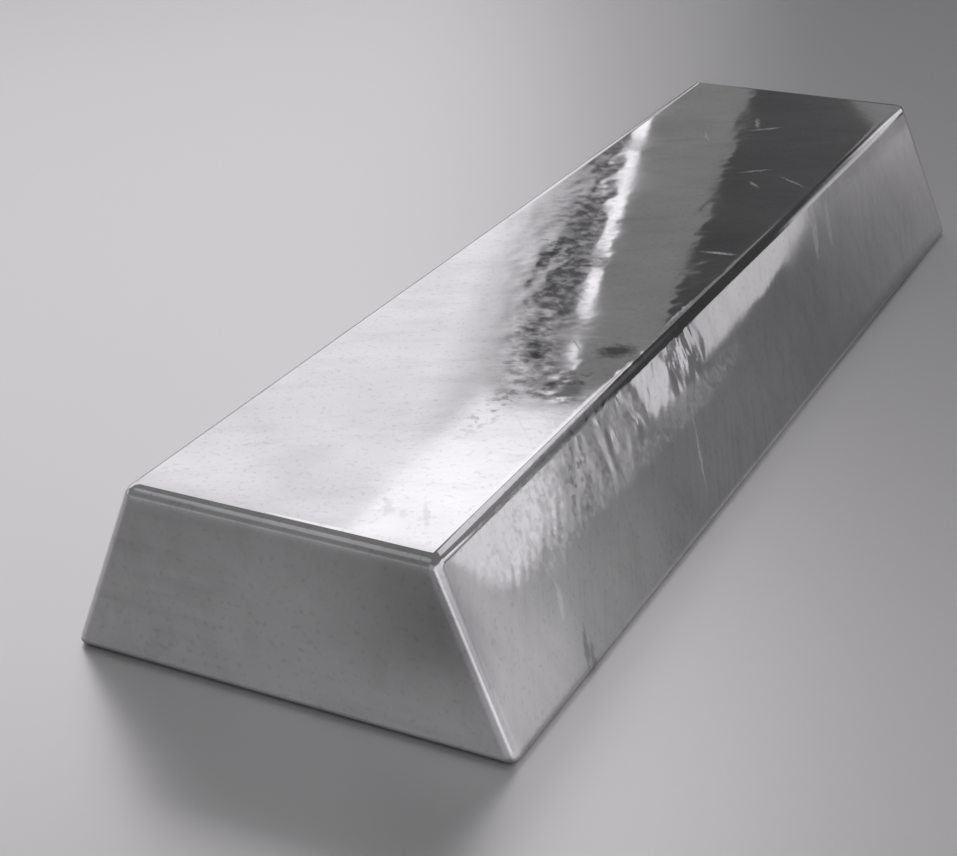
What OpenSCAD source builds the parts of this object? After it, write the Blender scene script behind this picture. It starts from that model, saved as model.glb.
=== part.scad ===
// Iron bar: a cast block with leaning long sides and nearly upright ends.
// It lies on its wide base with its narrow crown face up, and its length runs along Y.
// Widths and lengths are those of the flat faces before their edges are rounded.

/* [Base] */
// Length of the base, from end to end
base_length = 250; // [120:0.1:400]
// Width of the base, across the two long sides
base_width = 81.5; // [50:0.1:140]
// Radius of the edges round the base
base_edge_radius = 1.2; // [0.3:0.1:5]

/* [Crown] */
// Length of the crown, from end to end
crown_length = 249.6; // [120:0.1:400]
// Width of the crown, across the two long sides
crown_width = 54.5; // [30:0.1:120]
// Radius of the edges round the crown
crown_edge_radius = 2; // [0.3:0.1:5]

/* [Body] */
// Height from the base to the crown
height = 32.2; // [15:0.1:80]

/* [Hidden] */

// Angles by which the long sides and the ends lean in from upright
side_draft = atan2((base_width - crown_width) / 2, height);
end_draft = atan2((base_length - crown_length) / 2, height);

// Facets round a corner ball
ball_facets = 32;

// A ball turned from a half disc, so that its poles lie exactly on the level faces it touches
module ball(radius) {
    rotate_extrude($fn = ball_facets)
        intersection() {
            circle(r = radius, $fn = ball_facets);
            translate([0, -radius])
                square([radius, 2 * radius]);
        }
}

// Four balls that round the corners of one level face. Each ball touches that face, and also the
// long side and the end that meet there.
// lean is 1 where those walls close in over the balls, at the base, and -1 at the crown.
module corner_balls(face_length, face_width, radius, centre_z, lean) {
    from_side = radius * tan(45 + lean * side_draft / 2);
    from_end = radius * tan(45 + lean * end_draft / 2);
    for (across = [-1, 1], along = [-1, 1])
        translate([across * (face_width / 2 - from_side), along * (face_length / 2 - from_end), centre_z])
            ball(radius);
}

// The whole bar, cast in one piece. A skin drawn tight over the corner balls gives the flat faces,
// the rounded edges and the four leaning corners, whose radius grows from the base to the crown.
module bar() {
    color("silver")
        hull() {
            corner_balls(base_length, base_width, base_edge_radius, base_edge_radius, 1);
            corner_balls(crown_length, crown_width, crown_edge_radius, height - crown_edge_radius, -1);
        }
}

bar();
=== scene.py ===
import math
import bpy
import bmesh
from mathutils import Matrix, Vector, noise


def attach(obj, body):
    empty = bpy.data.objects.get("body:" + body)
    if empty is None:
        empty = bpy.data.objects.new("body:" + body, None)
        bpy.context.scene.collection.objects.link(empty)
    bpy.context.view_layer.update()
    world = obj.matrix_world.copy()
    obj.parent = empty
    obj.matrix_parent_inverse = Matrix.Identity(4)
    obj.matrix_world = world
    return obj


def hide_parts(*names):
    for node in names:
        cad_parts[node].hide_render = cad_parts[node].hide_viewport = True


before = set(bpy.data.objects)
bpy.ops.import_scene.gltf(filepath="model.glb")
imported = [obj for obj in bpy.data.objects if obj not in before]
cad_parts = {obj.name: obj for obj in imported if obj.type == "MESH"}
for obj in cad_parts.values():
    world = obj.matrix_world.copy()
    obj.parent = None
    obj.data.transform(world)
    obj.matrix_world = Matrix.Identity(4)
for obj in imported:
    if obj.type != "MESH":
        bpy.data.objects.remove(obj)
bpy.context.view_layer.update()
scene = bpy.context.scene
scene.view_settings.view_transform = "Standard"

# camera, at the photo's angle
cameraSettings = {
    "azimuth": 27.233,
    "elevation": 26.021,
    "roll": -1.177,
    "distance": 0.3854,
    "target": (-0.01642, -0.02454, 0.0),
    "lens": 71.634,
    "sensor": 36.0,
    "clipStart": 0.01,
}


def makeCamera(settings):
    data = bpy.data.cameras.new("camera")
    data.lens = settings["lens"]
    data.sensor_width = settings["sensor"]
    data.clip_start = settings["clipStart"]
    camera = bpy.data.objects.new("camera", data)
    scene.collection.objects.link(camera)
    turn = (Matrix.Rotation(math.radians(settings["azimuth"]), 4, "Z")
            @ Matrix.Rotation(math.radians(90 - settings["elevation"]), 4, "X")
            @ Matrix.Rotation(math.radians(settings["roll"]), 4, "Z"))
    camera.matrix_world = (Matrix.Translation(settings["target"]) @ turn
                           @ Matrix.Translation((0, 0, settings["distance"])))
    scene.camera = camera


makeCamera(cameraSettings)
print("camera set")

# bar: sizes in metres, the solid's own, but its ends and upright corners have their own rounding
barForm = {
    "baseLength": 0.2500,
    "baseWidth": 0.0815,
    "crownLength": 0.2496,
    "crownWidth": 0.0545,
    "height": 0.0322,
    "crownRound": 0.0020,
    "endRound": 0.0023,
    "cornerRound": 0.0019,
    "baseRound": 0.0012,
    "widestRound": 0.0040,
    "roundSteps": 6,
    "cellsAlong": 380,
    "cellsAcross": 86,
    "cellsUp": 46,
}


def tangentLength(radius, insideAngle):
    # from the sharp edge to where its rounding starts
    return radius / math.tan(math.radians(insideAngle) / 2)


def longEdges(bm, axis, least):
    # edges over the least length that run mostly along one axis
    mostly = 0.75
    found = []
    for edge in bm.edges:
        span = edge.verts[0].co - edge.verts[1].co
        if span.length > least and abs(span[axis]) > mostly * span.length:
            found.append(edge)
    return found


def makeBarMesh(form):
    # tapered block
    bm = bmesh.new()
    bmesh.ops.create_cube(bm, size=1.0)
    for v in bm.verts:
        top = v.co.z > 0
        width = form["crownWidth"] if top else form["baseWidth"]
        length = form["crownLength"] if top else form["baseLength"]
        v.co = Vector((math.copysign(width / 2, v.co.x), math.copysign(length / 2, v.co.y),
                       form["height"] if top else 0.0))
    # each edge gets its own rounding
    lean = math.degrees(math.atan2((form["baseWidth"] - form["crownWidth"]) / 2, form["height"]))
    halfHeight, halfLength = form["height"] / 2, form["baseLength"] / 2
    weights = bm.edges.layers.float.new("bevel_weight_edge")
    for edge in bm.edges:
        a, b = edge.verts[0].co, edge.verts[1].co
        span = a - b
        runsAlong = abs(span.y) > halfLength
        if abs(span.z) > halfHeight:
            offset = form["cornerRound"]
        elif a.z > halfHeight:
            offset = tangentLength(form["crownRound"], 90 + lean) if runsAlong else form["endRound"]
        else:
            offset = tangentLength(form["baseRound"], 90 - lean if runsAlong else 90)
        edge[weights] = offset / form["widestRound"]
    mesh = bpy.data.meshes.new("bar_block")
    bm.to_mesh(mesh)
    bm.free()
    block = bpy.data.objects.new("bar_block", mesh)
    scene.collection.objects.link(block)
    rounding = block.modifiers.new("rounding", "BEVEL")
    rounding.limit_method = "WEIGHT"
    rounding.offset_type = "OFFSET"
    rounding.width = form["widestRound"]
    rounding.segments = form["roundSteps"]
    rounding.profile = 0.5
    bpy.context.view_layer.update()
    bm = bmesh.new()
    bm.from_object(block, bpy.context.evaluated_depsgraph_get())
    bpy.data.objects.remove(block)
    bpy.data.meshes.remove(mesh)
    # even cells along, up and across
    for axis, least, cells in ((1, halfLength, form["cellsAlong"]), (2, halfHeight, form["cellsUp"]),
                               (0, form["crownWidth"] / 2, form["cellsAcross"])):
        bmesh.ops.subdivide_edges(bm, edges=longEdges(bm, axis, least), cuts=cells - 1, use_grid_fill=True)
    # the base is plain, so its cells go
    facingDown = -0.999
    under = [e for e in bm.edges if e.is_manifold and all(f.normal.z < facingDown for f in e.link_faces)]
    bmesh.ops.dissolve_edges(bm, edges=under, use_verts=False)
    return bm


# bar: shallow relief of the cast skin, in metres; fractal is its dimension, lacunarity and octaves
reliefLimits = {  # where relief may lie, by height over the floor and by how far a face looks right
    "crownFrom": 0.0315,
    "sideTo": 0.0310,
    "sideFacing": 0.5,
    "footFrom": 0.0015,
    "footFade": 0.0040,
}
patchRelief = {"scale": 0.35, "mean": 0.75, "swing": 1.2, "least": 0.15}  # the bands' folds come and go
swayRelief = {"size": 0.055, "depth": 0.000020, "seed": 7.3}
rippleRelief = {"size": 0.0070, "depth": 0.0000030, "seed": 5.9}
crinkleRelief = {  # fine wrinkles in slanting bands of the crown, (x, y) places
    "size": 0.0036,
    "stretch": 2.0,
    "depth": 0.000026,
    "fractal": (1.0, 2.1, 3),
    "seed": 3.1,
    "bands": (
        {"start": (-0.0330, 0.0790), "end": (0.0060, -0.0450), "reach": 0.0080, "share": 1.0},
        {"start": (-0.0290, 0.0350), "end": (-0.0040, -0.0330), "reach": 0.0070, "share": 0.9},
        {"start": (-0.0100, 0.1160), "end": (0.0165, 0.0080), "reach": 0.0045, "share": 0.5},
        {"start": (-0.0100, 0.0340), "end": (0.0020, -0.0050), "reach": 0.0040, "share": 0.35},
        {"start": (0.0110, -0.0360), "end": (0.0210, -0.0260), "reach": 0.0060, "share": 0.5},
        {"start": (0.0060, -0.0450), "end": (0.0165, -0.0650), "reach": 0.0062, "share": 0.55},
        {"start": (0.0190, -0.0580), "end": (0.0225, -0.0500), "reach": 0.0055, "share": 0.7},
    ),
}
crumpleRelief = {  # deeper folds where the band meets the right edge, and along that edge
    "size": 0.0042,
    "stretch": 1.4,
    "depth": 0.000060,
    "fractal": (1.0, 2.1, 3),
    "seed": 11.7,
    "bands": (
        {"start": (0.0030, -0.0380), "end": (0.0135, -0.0580), "reach": 0.0060, "share": 0.28},
        {"start": (0.0190, -0.0640), "end": (0.0235, -0.0480), "reach": 0.0056, "share": 0.8},
        {"start": (0.0235, -0.0230), "end": (0.0235, 0.0040), "reach": 0.0050, "share": 0.7},
    ),
}
foldRelief = {  # folds over the top of the right side, drawn out down it
    "size": 0.0042,
    "stretch": 1.7,
    "depth": 0.00013,
    "fractal": (1.0, 2.2, 3),
    "seed": 4.6,
    "spots": (
        {"centre": (0.0298, -0.0650, 0.0262), "reach": (0.0090, 0.0180, 0.0085), "share": 0.9},
        {"centre": (0.0295, -0.0320, 0.0268), "reach": (0.0080, 0.0105, 0.0070), "share": 0.6},
    ),
}
dragRelief = {  # drag marks down the right side, leaning towards the near end
    "wide": 0.0014,
    "tall": 0.0110,
    "lean": 0.75,
    "depth": 0.000016,
    "fractal": (0.8, 2.1, 3),
    "centre": (0.0310, -0.0720, 0.0250),
    "reach": (0.0100, 0.0560, 0.0130),
    "seed": 2.2,
}


def spotFade(point, centre, reach):
    return max(0.0, 1 - sum(((point[i] - centre[i]) / reach[i]) ** 2 for i in range(3)))


def noisePlace(point, settings):
    # a point in the noise's own units
    return point / settings["size"] + Vector((settings["seed"], 0, 0))


def plainNoise(point, settings):
    return noise.noise(noisePlace(point, settings)) * settings["depth"]


def bandAt(point, settings):
    if point.z < reliefLimits["crownFrom"]:
        return 0.0
    depth = 0.0
    for band in settings["bands"]:
        start, run = Vector(band["start"]), Vector(band["end"]) - Vector(band["start"])
        here = Vector((point.x, point.y)) - start
        along = here.dot(run) / run.length
        across = here.cross(run) / run.length
        past = max(0.0, -along, along - run.length)
        away = math.hypot(past, across) / band["reach"]
        if away >= 1:
            continue
        # drawn out along the band, and stronger in patches
        place = noisePlace(Vector((along / settings["stretch"], across, 0)), settings)
        patch = patchRelief["mean"] + patchRelief["swing"] * noise.noise(place * patchRelief["scale"])
        folds = noise.fractal(place, *settings["fractal"]) * max(patchRelief["least"], patch)
        depth += folds * settings["depth"] * band["share"] * (1 - away * away)
    return depth


def patchShare(point, spots):
    return max(spotFade(point, s["centre"], s["reach"]) * s["share"] for s in spots)


def foldAt(point, settings):
    share = patchShare(point, settings["spots"])
    if share <= 0 or point.z > reliefLimits["sideTo"]:
        return 0.0
    place = noisePlace(Vector((point.z / settings["stretch"], point.y, 0)), settings)
    return noise.fractal(place, *settings["fractal"]) * settings["depth"] * share


def dragAt(point, normal, settings):
    share = spotFade(point, settings["centre"], settings["reach"])
    if share <= 0 or normal.x < reliefLimits["sideFacing"]:
        return 0.0
    along = point.y + settings["lean"] * (barForm["height"] - point.z)
    place = Vector((settings["seed"], along / settings["wide"], point.z / settings["tall"]))
    return noise.fractal(place, *settings["fractal"]) * settings["depth"] * share


def makeBar(form):
    bm = makeBarMesh(form)
    bm.normal_update()
    moves = []
    for v in bm.verts:
        # the base stays flat on the floor
        grip = min(1.0, max(0.0, (v.co.z - reliefLimits["footFrom"]) / reliefLimits["footFade"]))
        depth = (plainNoise(v.co, swayRelief) + plainNoise(v.co, rippleRelief)
                 + bandAt(v.co, crinkleRelief) + bandAt(v.co, crumpleRelief)
                 + foldAt(v.co, foldRelief) + dragAt(v.co, v.normal, dragRelief))
        moves.append(v.co + v.normal * depth * grip)
    for v, place in zip(bm.verts, moves):
        v.co = place
    bmesh.ops.recalc_face_normals(bm, faces=bm.faces)
    for face in bm.faces:
        face.smooth = True
    mesh = bpy.data.meshes.new("bar_skin")
    bm.to_mesh(mesh)
    triangles = sum(len(f.verts) - 2 for f in bm.faces)
    bm.free()
    piece = bpy.data.objects.new("bar_skin", mesh)
    scene.collection.objects.link(piece)
    print("bar skin", len(mesh.vertices), "points", triangles, "triangles")
    return piece


# bright iron: polished, with smears, fine scratches, dull blooms and a few single marks, and painted
# reflections and shade in its colour
ironFinish = {
    "colourLow": (0.69, 0.69, 0.695),
    "colourHigh": (0.78, 0.78, 0.785),
    "smearScale": 38.0,
    "smearDetail": 5.0,
    "smearLevel": (0.36, 0.62),
    "polish": (0.035, 0.075),
    "polishLevel": (0.35, 0.65),
    "bloomDetail": 2.0,
    "bloomFade": (0.0, 0.5),
    "rippleScale": 420.0,
    "rippleDetail": 2.0,
    "rippleDepth": 0.0000022,
    "paintedLightAndShade": (  # painted reflections: darker and lighter places of the near end and the right side, and a painted contact shadow along its far foot
        {"middle": (0.0280, -0.1250, 0.0220), "reach": (0.0230, 0.0060, 0.0180), "shade": 0.60},
        {"middle": (-0.0060, -0.1250, 0.0310), "reach": (0.0500, 0.0060, 0.0130), "shade": 0.84},
        {"middle": (0.0060, -0.1250, 0.0040), "reach": (0.0420, 0.0060, 0.0130), "shade": 1.22},
        {"middle": (0.0370, -0.0960, 0.0090), "reach": (0.0200, 0.0420, 0.0160), "shade": 1.24},
        {"middle": (0.0360, 0.0760, 0.0130), "reach": (0.0200, 0.0800, 0.0260), "shade": 0.80},
        # painted contact shadow: a dark line along the right side's far foot
        {"middle": (0.0405, 0.0850, 0.0005), "reach": (0.0040, 0.0600, 0.0040), "shade": 0.50},
    ),
}
scratchFinish = {  # fine scratches in patches, turned in degrees from X, seen from above
    "turns": (27.0, -52.0),
    "run": 0.030,
    "gap": 0.00067,
    "shift": (0.37, 0.13),
    "level": (0.70, 0.86),
    "patchScale": 55.0,
    "patch": (0.50, 0.64),
    "rough": 0.09,
}
bloomFinish = {  # dull places: middle and reach in metres, turn in degrees, grain scale and levels
    "fold": {"middle": (0.0086, -0.0520, 0.0320), "reach": (0.0078, 0.0250, 0.0120), "turn": 26.0,
             "rough": 0.08, "grain": 420.0, "level": (0.30, 0.66)},
    "crinkle": {"middle": (-0.0090, 0.0028, 0.0322), "reach": (0.0900, 0.0090, 0.0200), "turn": -72.5,
                "rough": 0.09, "grain": 480.0, "level": (0.36, 0.66)},
    "sideFold": {"middle": (0.0298, -0.0710, 0.0262), "reach": (0.0100, 0.0230, 0.0110), "turn": 0.0,
                 "rough": 0.10, "grain": 420.0, "level": (0.20, 0.60)},
    "drag": {"middle": (0.0305, -0.0850, 0.0250), "reach": (0.0090, 0.0420, 0.0140), "turn": 0.0,
             "rough": 0.09, "grain": 760.0, "level": (0.36, 0.66)},
    "rub": {"middle": (0.0326, -0.0400, 0.0195), "reach": (0.0020, 0.0420, 0.0046), "turn": 0.0,
            "rough": 0.17, "grain": 800.0, "level": (0.26, 0.70)},
}
endFinish = {"from": 0.12320, "to": 0.12476, "rough": 0.26}  # satin ends, by distance from the middle
edgeFinish = {  # satin upright corners and foot, a painted contact shadow along the foot of the ends, metres and degrees
    "cornerMiddle": (0.0340, 0.1243, 0.0161),
    "cornerReach": (0.0032, 0.0028, 0.0320),
    "cornerLean": -22.75,
    "cornerFade": (0.0, 0.35),
    "cornerRough": 0.17,
    "footFrom": 0.0022,
    "footTo": 0.0012,
    "footRough": 0.36,
    # painted contact shadow: darker towards the floor on the ends
    "paintedShadowFrom": 0.0015,
    "paintedShadowTo": 0.0007,
    "paintedShadowShade": 0.40,
}
wipeFinish = {  # faint streaks across the bar, leaning on its sides
    "lean": -37.0,
    "run": 0.022,
    "gap": 0.0012,
    "detail": 3.0,
    "level": (0.45, 0.75),
    "patchScale": 70.0,
    "patchDetail": 2.0,
    "patch": (0.38, 0.58),
    "shade": 0.90,
    "crownLevel": (0.0300, 0.0318),
    "crownShare": 0.35,
}
paintedReflectionFlecks = {  # painted dark reflections: flecks in the folds, along strokes given as the rubs are
    "scale": 520.0,
    "detail": 3.0,
    "level": (0.52, 0.60),
    "shade": 0.55,
    "strokes": (
        ((12.9, -58.0), (12.4, -90.0), 3.2), ((11.5, -64.0), (26.0, -69.5), 3.0),
        ((17.0, -63.5), (25.5, -54.5), 3.2), ((-1.0, -33.0), (16.5, -67.0), 4.6),
        ((28.3, -70.0), (31.6, -88.0), 3.0), ((-23.0, 34.0), (2.0, -32.0), 4.2),
    ),
}
smudgeFinish = {  # soft smears and fine specks all over, reach in metres
    "reach": (0.0130, 0.0040, 0.0130),
    "turn": 34.0,
    "detail": 4.0,
    "level": (0.50, 0.68),
    "shade": 0.93,
    "speckScale": 1050.0,
    "speckDetail": 2.0,
    "speckLevel": (0.58, 0.70),
    "speckShade": 0.88,
}
# single strokes: ends (x, y) seen from above and half width, in millimetres, and the shade of a stain or of a
# painted dark reflection
markFinish = {
    "rough": 0.20,
    "waverScale": 700.0,
    "waverDetail": 3.0,
    "waver": 0.0007,
    "broadWaver": 0.0020,
    "narrow": 1.0,  # a dark stroke under this half width wavers as a rub does
    "rubLevel": (0.0, 0.7),
    "darkStrokeLevel": (0.0, 0.6),
    "height": 0.0160,
    "tall": 1.0,
    "rubs": (
        ((-1.0, 87.6), (7.4, 94.7), 0.9), ((7.5, 57.0), (15.4, 63.5), 0.8), ((-2.1, 99.5), (1.6, 89.5), 0.8),
        ((-11.2, 85.8), (-3.5, 72.1), 0.7), ((11.8, 53.6), (16.3, 48.8), 0.8),
        ((17.3, 7.6), (27.0, 9.0), 1.0), ((15.9, 59.9), (27.0, 52.2), 0.7),
        ((-25.4, -120.0), (-16.7, -110.6), 0.7), ((-18.6, -98.8), (-10.0, -90.7), 0.7),
        ((32.3, -34.5), (40.4, -42.6), 0.5), ((28.1, 49.0), (32.3, 41.9), 0.9),
        ((28.7, 57.3), (32.5, 51.4), 0.9), ((34.5, -96.6), (36.6, -100.2), 0.7),
        ((33.2, -108.2), (35.1, -111.7), 0.7), ((25.6, -34.5), (26.1, -12.0), 0.5),
    ),
    # the first five are stains; the dark blot and the strokes after it are painted dark reflections of the
    # crown's folds
    "stainsAndPaintedReflections": (
        ((37.5, -94.3), (40.5, -98.2), 0.7, 0.60), ((38.8, -93.7), (40.6, -96.8), 0.7, 0.64),
        ((11.1, -109.4), (15.0, -116.4), 1.2, 0.86), ((15.9, -112.5), (17.7, -115.8), 0.8, 0.88),
        ((17.6, -108.5), (22.1, -117.1), 0.7, 0.86), ((19.3, -48.9), (24.7, -41.4), 3.4, 0.26),
        ((0.5, -34.5), (11.5, -56.0), 3.8, 0.54), ((6.0, -47.0), (14.5, -61.5), 3.2, 0.62),
        ((11.6, -65.4), (19.2, -60.2), 3.2, 0.50), ((-11.8, 10.5), (-7.2, 2.0), 2.2, 0.76),
        ((-7.4, -7.0), (-4.0, -15.0), 2.0, 0.78), ((-3.2, -18.0), (0.6, -26.5), 2.0, 0.78),
        ((3.2, -27.5), (7.2, -35.5), 2.2, 0.76),
    ),
}
perMetre = 1000  # millimetres in a metre


def addNode(tree, kind, **values):
    node = tree.nodes.new("ShaderNode" + kind)
    for key, value in values.items():
        if hasattr(node, key):
            setattr(node, key, value)
        else:
            node.inputs[key].default_value = value
    return node


def addMath(tree, operation, first, second):
    node = addNode(tree, "Math", operation=operation)
    for i, value in enumerate((first, second)):
        if isinstance(value, (int, float)):
            node.inputs[i].default_value = value
        else:
            tree.links.new(value, node.inputs[i])
    return node.outputs[0]


def addRange(tree, value, fromLow, fromHigh, toLow=0.0, toHigh=1.0):
    node = addNode(tree, "MapRange")
    tree.links.new(value, node.inputs["Value"])
    for name, number in (("From Min", fromLow), ("From Max", fromHigh),
                         ("To Min", toLow), ("To Max", toHigh)):
        node.inputs[name].default_value = number
    return node.outputs["Result"]


def addNoise(tree, place, scale, detail, **values):
    node = addNode(tree, "TexNoise", **values)
    node.inputs["Scale"].default_value = scale
    node.inputs["Detail"].default_value = detail
    tree.links.new(place, node.inputs["Vector"])
    return node.outputs["Fac"]


def addLay(tree, place, middle, reach, turn):
    # moved to the middle, turned (x, y, z), then measured in reaches
    lay = addNode(tree, "Mapping", vector_type="TEXTURE")
    lay.inputs["Location"].default_value = middle
    lay.inputs["Rotation"].default_value = [math.radians(a) for a in turn]
    lay.inputs["Scale"].default_value = reach
    tree.links.new(place, lay.inputs["Vector"])
    return lay.outputs["Vector"]


def addSpot(tree, place, middle, reach, turn=(0, 0, 0)):
    # 1 at the middle, 0 at the reach
    spot = addNode(tree, "TexGradient", gradient_type="SPHERICAL")
    tree.links.new(addLay(tree, place, middle, reach, turn), spot.inputs["Vector"])
    return spot.outputs["Fac"]


def addShade(tree, colour, share, shade):
    mix = addNode(tree, "Mix", data_type="RGBA", blend_type="MULTIPLY")
    tree.links.new(share, mix.inputs[0])
    tree.links.new(colour, mix.inputs[6])
    mix.inputs[7].default_value = (shade, shade, shade, 1)
    return mix.outputs[2]


def addScratches(tree, place, settings):
    lines = None
    for i, turn in enumerate(settings["turns"]):
        middle = (settings["shift"][0] * i, settings["shift"][1] * i, 0)
        lay = addLay(tree, place, middle, (settings["run"], settings["gap"], 1.0), (0, 0, turn))
        line = addRange(tree, addNoise(tree, lay, 1.0, 1.0, noise_dimensions="2D"), *settings["level"])
        lines = line if lines is None else addMath(tree, "MAXIMUM", lines, line)
    patch = addRange(tree, addNoise(tree, place, settings["patchScale"], 1.0), *settings["patch"])
    return addMath(tree, "MULTIPLY", lines, patch)


def addStroke(tree, place, start, end, halfWidth, level=markFinish["rubLevel"]):
    # a long spot from start to end, the same at every height
    a, b = Vector(start) / perMetre, Vector(end) / perMetre
    middle, run = (a + b) / 2, b - a
    turn = math.degrees(math.atan2(run.y, run.x))
    reach = (run.length / 2, halfWidth / perMetre, markFinish["tall"])
    stroke = addSpot(tree, place, (middle.x, middle.y, markFinish["height"]), reach, (0, 0, turn))
    return addRange(tree, stroke, *level)


def addRubs(tree, place, strokes):
    rubs = None
    for stroke in strokes:
        rub = addStroke(tree, place, *stroke)
        rubs = rub if rubs is None else addMath(tree, "MAXIMUM", rubs, rub)
    return rubs


def addRagged(tree, place, marks):
    # wavering places, for marks with ragged borders
    shake = addNode(tree, "TexNoise", Scale=marks["waverScale"], Detail=marks["waverDetail"])
    tree.links.new(place, shake.inputs["Vector"])
    centred = addNode(tree, "VectorMath", operation="SUBTRACT")
    tree.links.new(shake.outputs["Color"], centred.inputs[0])
    centred.inputs[1].default_value = (0.5, 0.5, 0.5)
    ragged = {}
    for kind in ("waver", "broadWaver"):
        moved = addNode(tree, "VectorMath", operation="MULTIPLY_ADD")
        tree.links.new(centred.outputs["Vector"], moved.inputs[0])
        moved.inputs[1].default_value = (2 * marks[kind],) * 3
        tree.links.new(place, moved.inputs[2])
        ragged[kind] = moved.outputs["Vector"]
    return ragged


def addSmears(tree, smear, finish):
    tone = addNode(tree, "ValToRGB")
    for i, colour in enumerate((finish["colourLow"], finish["colourHigh"])):
        tone.color_ramp.elements[i].position = finish["smearLevel"][i]
        tone.color_ramp.elements[i].color = (*colour, 1)
    tree.links.new(smear, tone.inputs["Fac"])
    return tone.outputs["Color"]


# stains, and painted dark reflections of the folds
def addStainsAndPaintedReflections(tree, ragged, colour, marks):
    for start, end, halfWidth, shade in marks["stainsAndPaintedReflections"]:
        kind = "waver" if halfWidth < marks["narrow"] else "broadWaver"
        darkStroke = addStroke(tree, ragged[kind], start, end, halfWidth, marks["darkStrokeLevel"])
        colour = addShade(tree, colour, darkStroke, shade)
    return colour


# painted dark reflections, as flecks in the folds
def addPaintedReflectionFlecks(tree, place, ragged, colour, reflectionFlecks):
    reflectionFleck = addRange(tree, addNoise(tree, place, reflectionFlecks["scale"], reflectionFlecks["detail"]), *reflectionFlecks["level"])
    reflectionFleck = addMath(tree, "MULTIPLY", reflectionFleck, addRubs(tree, ragged["broadWaver"], reflectionFlecks["strokes"]))
    return addShade(tree, colour, reflectionFleck, reflectionFlecks["shade"])


def addSmudges(tree, place, colour, smudges):
    lay = addLay(tree, place, (0, 0, 0), smudges["reach"], (0, 0, smudges["turn"]))
    smudge = addRange(tree, addNoise(tree, lay, 1.0, smudges["detail"]), *smudges["level"])
    colour = addShade(tree, colour, smudge, smudges["shade"])
    speck = addNoise(tree, place, smudges["speckScale"], smudges["speckDetail"])
    return addShade(tree, colour, addRange(tree, speck, *smudges["speckLevel"]), smudges["speckShade"])


# painted reflections and shade, multiplied into the colour
def addPaintedLightAndShade(tree, place, colour, paintedLightAndShade):
    for spot in paintedLightAndShade:
        colour = addShade(tree, colour, addSpot(tree, place, spot["middle"], spot["reach"]), spot["shade"])
    return colour


def addWipes(tree, place, height, colour, wipes):
    lay = addLay(tree, place, (0, 0, 0), (wipes["run"], wipes["gap"], wipes["run"]), (wipes["lean"], 0, 0))
    streak = addRange(tree, addNoise(tree, lay, 1.0, wipes["detail"]), *wipes["level"])
    patch = addNoise(tree, place, wipes["patchScale"], wipes["patchDetail"])
    patch = addRange(tree, patch, *wipes["patch"])
    # fainter on the crown
    crown = addRange(tree, height, *wipes["crownLevel"], 1.0, wipes["crownShare"])
    patch = addMath(tree, "MULTIPLY", patch, crown)
    return addShade(tree, colour, addMath(tree, "MULTIPLY", streak, patch), wipes["shade"])


# painted contact shadow along the foot of the ends
def addPaintedContactShadow(tree, fromMiddle, height, colour, ends, edges):
    onEnd = addRange(tree, fromMiddle, ends["from"], ends["to"])
    paintedShadow = addRange(tree, height, edges["paintedShadowFrom"], edges["paintedShadowTo"])
    return addShade(tree, colour, addMath(tree, "MULTIPLY", paintedShadow, onEnd), edges["paintedShadowShade"])


def addBlooms(tree, place, rough, blooms, finish):
    for bloom in blooms.values():
        spot = addSpot(tree, place, bloom["middle"], bloom["reach"], (0, 0, bloom["turn"]))
        spot = addRange(tree, spot, *finish["bloomFade"], 0.0, bloom["rough"])
        grain = addRange(tree, addNoise(tree, place, bloom["grain"], finish["bloomDetail"]), *bloom["level"])
        rough = addMath(tree, "ADD", rough, addMath(tree, "MULTIPLY", spot, grain))
    return rough


def addMarks(tree, place, ragged, rough, scratches, marks):
    lines = addMath(tree, "MULTIPLY", addScratches(tree, place, scratches), scratches["rough"])
    rubs = addMath(tree, "MULTIPLY", addRubs(tree, ragged["waver"], marks["rubs"]), marks["rough"])
    return addMath(tree, "ADD", rough, addMath(tree, "MAXIMUM", lines, rubs))


def addSatin(tree, mirrored, fromMiddle, height, rough, ends, edges):
    corner = addSpot(tree, mirrored, edges["cornerMiddle"], edges["cornerReach"], (0, edges["cornerLean"], 0))
    for satin in (addRange(tree, fromMiddle, ends["from"], ends["to"], 0.0, ends["rough"]),
                  addRange(tree, corner, *edges["cornerFade"], 0.0, edges["cornerRough"]),
                  addRange(tree, height, edges["footFrom"], edges["footTo"], 0.0, edges["footRough"])):
        rough = addMath(tree, "MAXIMUM", rough, satin)
    return rough


def addRipple(tree, place, finish):
    bump = addNode(tree, "Bump")
    bump.inputs["Strength"].default_value = 1.0
    bump.inputs["Distance"].default_value = finish["rippleDepth"]
    ripple = addNoise(tree, place, finish["rippleScale"], finish["rippleDetail"])
    tree.links.new(ripple, bump.inputs["Height"])
    return bump.outputs["Normal"]


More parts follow.
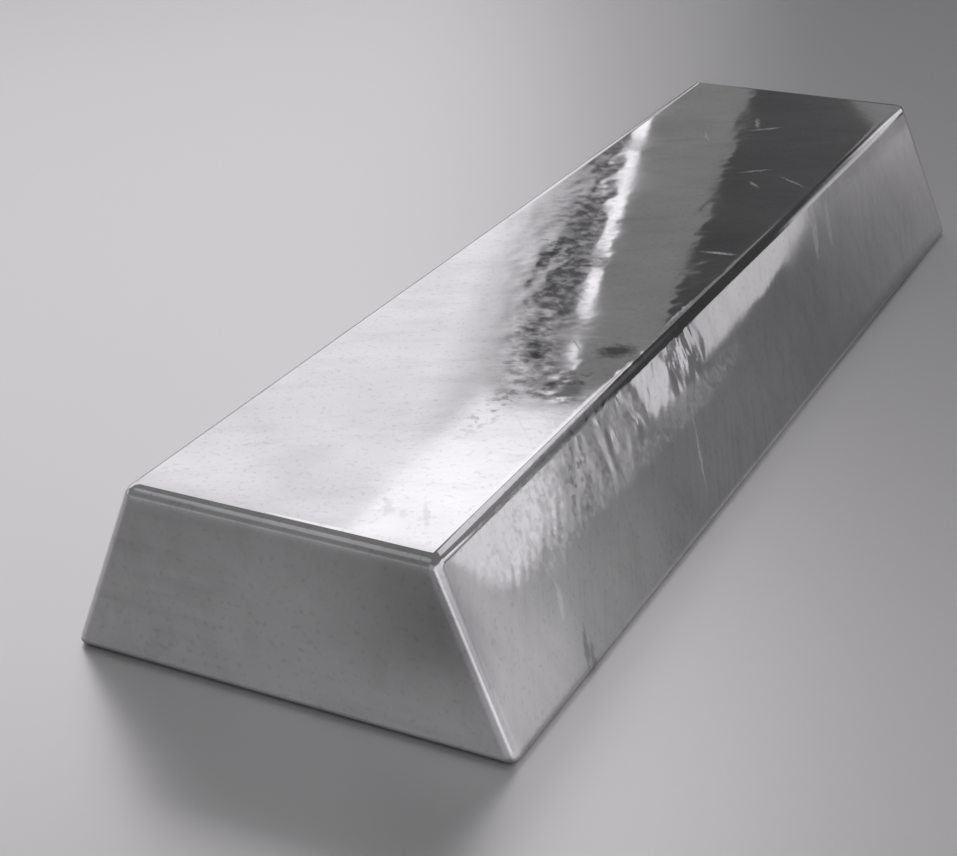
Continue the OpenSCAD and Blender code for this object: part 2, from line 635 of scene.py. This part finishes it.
def makeIron():
    material = bpy.data.materials.new("bright_iron")
    material.use_nodes = True
    tree = material.node_tree
    shader = tree.nodes["Principled BSDF"]
    shader.inputs["Metallic"].default_value = 1.0
    place = addNode(tree, "TexCoord").outputs["Object"]
    ragged = addRagged(tree, place, markFinish)
    smear = addNoise(tree, place, ironFinish["smearScale"], ironFinish["smearDetail"])
    # the same on both ends and both sides
    mirror = addNode(tree, "VectorMath", operation="ABSOLUTE")
    tree.links.new(place, mirror.inputs[0])
    mirrored = mirror.outputs["Vector"]
    axes = addNode(tree, "SeparateXYZ")
    tree.links.new(mirrored, axes.inputs[0])
    fromMiddle, height = axes.outputs["Y"], axes.outputs["Z"]
    # colour: smears, with stains, specks and wipes on them, and painted dark reflections, painted light and
    # shade and a painted contact shadow
    colour = addSmears(tree, smear, ironFinish)
    colour = addStainsAndPaintedReflections(tree, ragged, colour, markFinish)
    colour = addPaintedReflectionFlecks(tree, place, ragged, colour, paintedReflectionFlecks)
    colour = addSmudges(tree, place, colour, smudgeFinish)
    colour = addPaintedLightAndShade(tree, place, colour, ironFinish["paintedLightAndShade"])
    colour = addWipes(tree, place, height, colour, wipeFinish)
    colour = addPaintedContactShadow(tree, fromMiddle, height, colour, endFinish, edgeFinish)
    tree.links.new(colour, shader.inputs["Base Color"])
    # polish, dulled by blooms, scratches, rubs and satin edges
    rough = addRange(tree, smear, *ironFinish["polishLevel"], *ironFinish["polish"])
    rough = addBlooms(tree, place, rough, bloomFinish, ironFinish)
    rough = addMarks(tree, place, ragged, rough, scratchFinish, markFinish)
    rough = addSatin(tree, mirrored, fromMiddle, height, rough, endFinish, edgeFinish)
    tree.links.new(rough, shader.inputs["Roughness"])
    tree.links.new(addRipple(tree, place, ironFinish), shader.inputs["Normal"])
    return material


bar = makeBar(barForm)
bar.data.materials.append(makeIron())
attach(bar, "root")
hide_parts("bar")
print("bar made")

# floor
floorSettings = {
    "size": 16.0,
    "colour": (0.80, 0.795, 0.80),
    "roughness": 0.36,
    "metallic": 0.75,
}


def makeFloor(settings):
    bm = bmesh.new()
    bmesh.ops.create_grid(bm, x_segments=1, y_segments=1, size=settings["size"] / 2)
    mesh = bpy.data.meshes.new("floor")
    bm.to_mesh(mesh)
    bm.free()
    floor = bpy.data.objects.new("floor", mesh)
    scene.collection.objects.link(floor)
    material = bpy.data.materials.new("pale_floor")
    material.use_nodes = True
    shader = material.node_tree.nodes["Principled BSDF"]
    shader.inputs["Base Color"].default_value = (*settings["colour"], 1)
    shader.inputs["Roughness"].default_value = settings["roughness"]
    shader.inputs["Metallic"].default_value = settings["metallic"]
    mesh.materials.append(material)


makeFloor(floorSettings)
print("floor made")

# studio: soft lamps and dark flags round the bar, corners in metres
# a glow of 1 is white, and a card with two glows fades from the first to the second
lamps = {
    "back_left_panel": {
        "glow": (0.95, 0.40), "fadeAlong": (1.0, 0.0, 0.4167), "fadeFrom": -0.326, "fadeTo": -0.281,
        "corners": ((-0.385, 1.0, 0.25), (-0.781, 1.0, 1.20), (-1.550, 0.10, 1.20), (-1.104, 0.10, 0.12),
                    (-0.486, 0.82, 0.12))},
    "top_back_panel": {
        "glow": (0.93, 1.30), "fadeAlong": (0.0, 0.0, 1.0), "fadeFrom": 0.55, "fadeTo": 0.68,
        "corners": ((-0.78, 0.99, 0.533), (-0.72, 0.80, 1.00), (-0.18, 0.75, 1.10), (-0.24, 0.99, 0.64),
                    (-0.42, 0.99, 0.580), (-0.52, 0.99, 0.588))},
    "edge_panel": {
        "glow": (0.80, 0.80),
        "corners": ((-0.17, 1.0, 0.66), (0.30, 1.0, 0.76), (0.66, 1.0, 0.71), (0.66, 1.0, 0.90),
                    (0.05, 1.0, 1.00), (-0.17, 1.0, 0.92))},
    "overhead_panel": {
        "glow": (0.45, 0.45),
        "corners": ((-0.9, -1.05, 1.2), (-0.9, -0.20, 1.2), (0.1, -0.20, 1.2), (0.1, -1.05, 1.2))},
    "corner_lamp": {
        "glow": (1.50, 1.50),
        "corners": ((0.95, -1.10, 0.0), (0.95, -1.10, 0.30), (0.98, -0.50, 0.30), (0.98, -0.50, 0.0))},
    "right_fill": {
        "glow": (0.05, 1.1), "fadeAlong": (0.0, 0.0, 1.0), "fadeFrom": 0.0, "fadeTo": 0.10,
        "corners": ((1.0, -0.9, 0.0), (1.0, 1.08, 0.0), (1.0, 1.08, 0.5), (1.0, -0.9, 0.5))},
    "far_low_panel": {
        "glow": (0.56, 0.06), "fadeAlong": (1.0, 0.0, 1.0), "fadeFrom": 0.54, "fadeTo": 0.76,
        "corners": ((0.43, 1.1, 0.0), (0.35, 1.1, 0.23), (0.26, 1.1, 0.36), (0.25, 1.1, 0.42),
                    (0.375, 1.1, 0.44), (0.49, 1.1, 0.295), (0.55, 1.1, 0.12), (0.55, 1.1, 0.0))},
    "far_edge_lamp": {
        "glow": (1.0, 0.50), "fadeAlong": (1.0, 0.0, 0.35), "fadeFrom": 0.425, "fadeTo": 0.485,
        "corners": ((0.418, 1.095, 0.035), (0.35, 1.095, 0.23), (0.26, 1.095, 0.36), (0.33, 1.095, 0.36),
                    (0.42, 1.095, 0.23), (0.488, 1.095, 0.035))},
    "front_right_panel": {
        "glow": (0.5, 0.5),
        "corners": ((0.0, -1.3, 0.06), (0.0, -1.3, 0.75), (1.2, -1.1, 0.75), (1.2, -1.1, 0.06))},
    "front_left_strip": {
        "glow": (0.5, 0.5),
        "corners": ((-1.3, -1.2, 0.12), (-1.3, -1.2, 0.32), (-0.1, -1.3, 0.32), (-0.1, -1.3, 0.12))},
    "left_panel": {
        "glow": (0.7, 0.7),
        "corners": ((-1.4, -0.9, 0.10), (-1.4, -0.9, 0.75), (-1.4, 0.0, 0.75), (-1.4, 0.0, 0.10))},
}
sheets = {  # flat glowing sheets just over the floor, corners (x, y)
    "near_sheet": {
        "glow": 0.84,
        "corners": ((0.178, 0.068), (0.184, 0.092), (0.207, 0.143), (0.250, 0.218), (0.333, 0.355),
                    (0.66, 0.85), (0.72, 0.72), (0.350, 0.262), (0.242, 0.140), (0.194, 0.085))},
    "middle_sheet": {
        "glow": 0.74,
        "corners": ((0.205, 0.213), (0.198, 0.229), (0.660, 1.012), (0.660, 0.950))},
    "far_sheet": {
        "glow": 0.62,
        "corners": ((0.214, 0.285), (0.228, 0.385), (0.255, 0.475), (0.302, 0.605), (0.400, 0.835),
                    (0.48, 1.06), (0.64, 1.055))},
    "end_sheet": {
        "glow": 0.27,
        "corners": ((0.302, 0.605), (0.290, 0.790), (0.385, 1.06), (0.48, 1.06), (0.400, 0.835))},
}
sheetHeight = 0.0004  # over the floor
flags = {
    "back_flag": {
        "glow": (0.07, 0.088), "fadeAlong": (1.0, 0.0, 0.0), "fadeFrom": -0.33, "fadeTo": -0.24,
        "corners": ((-0.276, 1.0, 0.20), (-0.375, 1.0, 0.51), (0.0, 1.0, 0.51), (-0.26, 1.0, 0.27))},
    "gap_flag": {
        "glow": (0.10, 0.10),
        "corners": ((-0.406, 1.004, 0.30), (-0.539, 1.004, 0.62), (-0.43, 1.004, 0.60),
                    (-0.459, 1.004, 0.56), (-0.383, 1.004, 0.30))},
    "edge_flag": {
        "glow": (0.07, 0.07),
        "corners": ((-0.08, 1.05, 0.45), (0.0, 1.05, 0.53), (0.12, 1.05, 0.58), (0.24, 1.05, 0.50),
                    (0.24, 1.05, 0.45))},
    "low_flag": {
        "glow": (0.06, 0.06),
        "corners": ((-0.34, 1.05, 0.26), (0.22, 1.05, 0.26), (0.22, 1.05, 0.0), (-0.28, 1.05, 0.0))},
    "right_flag": {
        "glow": (0.05, 0.25), "fadeAlong": (1.0, 0.0, 1.0), "fadeFrom": 1.1, "fadeTo": 1.5,
        "corners": ((0.30, 1.3, 0.0), (0.30, 1.3, 0.51), (0.05, 1.3, 0.51), (0.05, 1.3, 1.00),
                    (0.92, 1.2, 1.00), (0.92, 1.2, 0.0))},
}
stripLamp = {  # one lamp in a row of runs, shares of the way from foot to head
    "glow": 1.3,
    "foot": (-0.362, 1.0, 0.20),
    "head": (-0.467, 1.0, 0.56),
    "width": 0.012,
    "runs": ((0.0, 0.411), (0.431, 0.683), (0.722, 0.852), (0.905, 0.968)),
}
lampColour = (1.005, 0.98, 1.015)
worldGlow = 0.225
sheetNear = 0.05  # a sheet shows only to rays longer than this, so the floor under it stays plain


def makeCard(name, settings):
    bm = bmesh.new()
    bm.faces.new([bm.verts.new(c) for c in settings["corners"]])
    mesh = bpy.data.meshes.new(name)
    bm.to_mesh(mesh)
    bm.free()
    card = bpy.data.objects.new(name, mesh)
    scene.collection.objects.link(card)
    material = bpy.data.materials.new(name)
    material.use_nodes = True
    tree = material.node_tree
    shader = tree.nodes["Principled BSDF"]
    shader.inputs["Base Color"].default_value = (0, 0, 0, 1)
    shader.inputs["Specular IOR Level"].default_value = 0.0
    shader.inputs["Roughness"].default_value = 1.0
    shader.inputs["Emission Color"].default_value = (*lampColour, 1)
    first, last = settings["glow"]
    if first == last:
        shader.inputs["Emission Strength"].default_value = first
    else:
        # the glow changes along one direction
        along = addNode(tree, "VectorMath", operation="DOT_PRODUCT")
        tree.links.new(addNode(tree, "TexCoord").outputs["Object"], along.inputs[0])
        along.inputs[1].default_value = settings["fadeAlong"]
        glow = addRange(tree, along.outputs["Value"], settings["fadeFrom"], settings["fadeTo"], first, last)
        tree.links.new(glow, shader.inputs["Emission Strength"])
    mesh.materials.append(material)
    card.visible_camera = False
    return card


def makeStrip(settings):
    foot, head = Vector(settings["foot"]), Vector(settings["head"])
    across = Vector((settings["width"], 0, 0))
    glow = (settings["glow"], settings["glow"])
    for i, (start, end) in enumerate(settings["runs"]):
        low, high = foot.lerp(head, start), foot.lerp(head, end)
        corners = (low, high, high + across, low + across)
        makeCard("strip_lamp_%d" % (i + 1), {"glow": glow, "corners": corners})


def makeSheet(name, settings):
    corners = [(*c, sheetHeight) for c in settings["corners"]]
    sheet = makeCard(name, {"glow": (settings["glow"], settings["glow"]), "corners": corners})
    sheet.visible_diffuse = False
    sheet.visible_shadow = False
    tree = sheet.data.materials[0].node_tree
    far = addMath(tree, "GREATER_THAN", addNode(tree, "LightPath").outputs["Ray Length"], sheetNear)
    mix = addNode(tree, "MixShader")
    tree.links.new(far, mix.inputs[0])
    tree.links.new(addNode(tree, "BsdfTransparent").outputs[0], mix.inputs[1])
    tree.links.new(tree.nodes["Principled BSDF"].outputs[0], mix.inputs[2])
    tree.links.new(mix.outputs[0], tree.nodes["Material Output"].inputs["Surface"])


for name, settings in list(lamps.items()) + list(flags.items()):
    makeCard(name, settings)
makeStrip(stripLamp)
for name, settings in sheets.items():
    makeSheet(name, settings)
world = bpy.data.worlds.new("studio")
world.use_nodes = True
sky = world.node_tree.nodes["Background"]
sky.inputs["Color"].default_value = (1, 1, 1, 1)
sky.inputs["Strength"].default_value = worldGlow
scene.world = world
print("studio made")
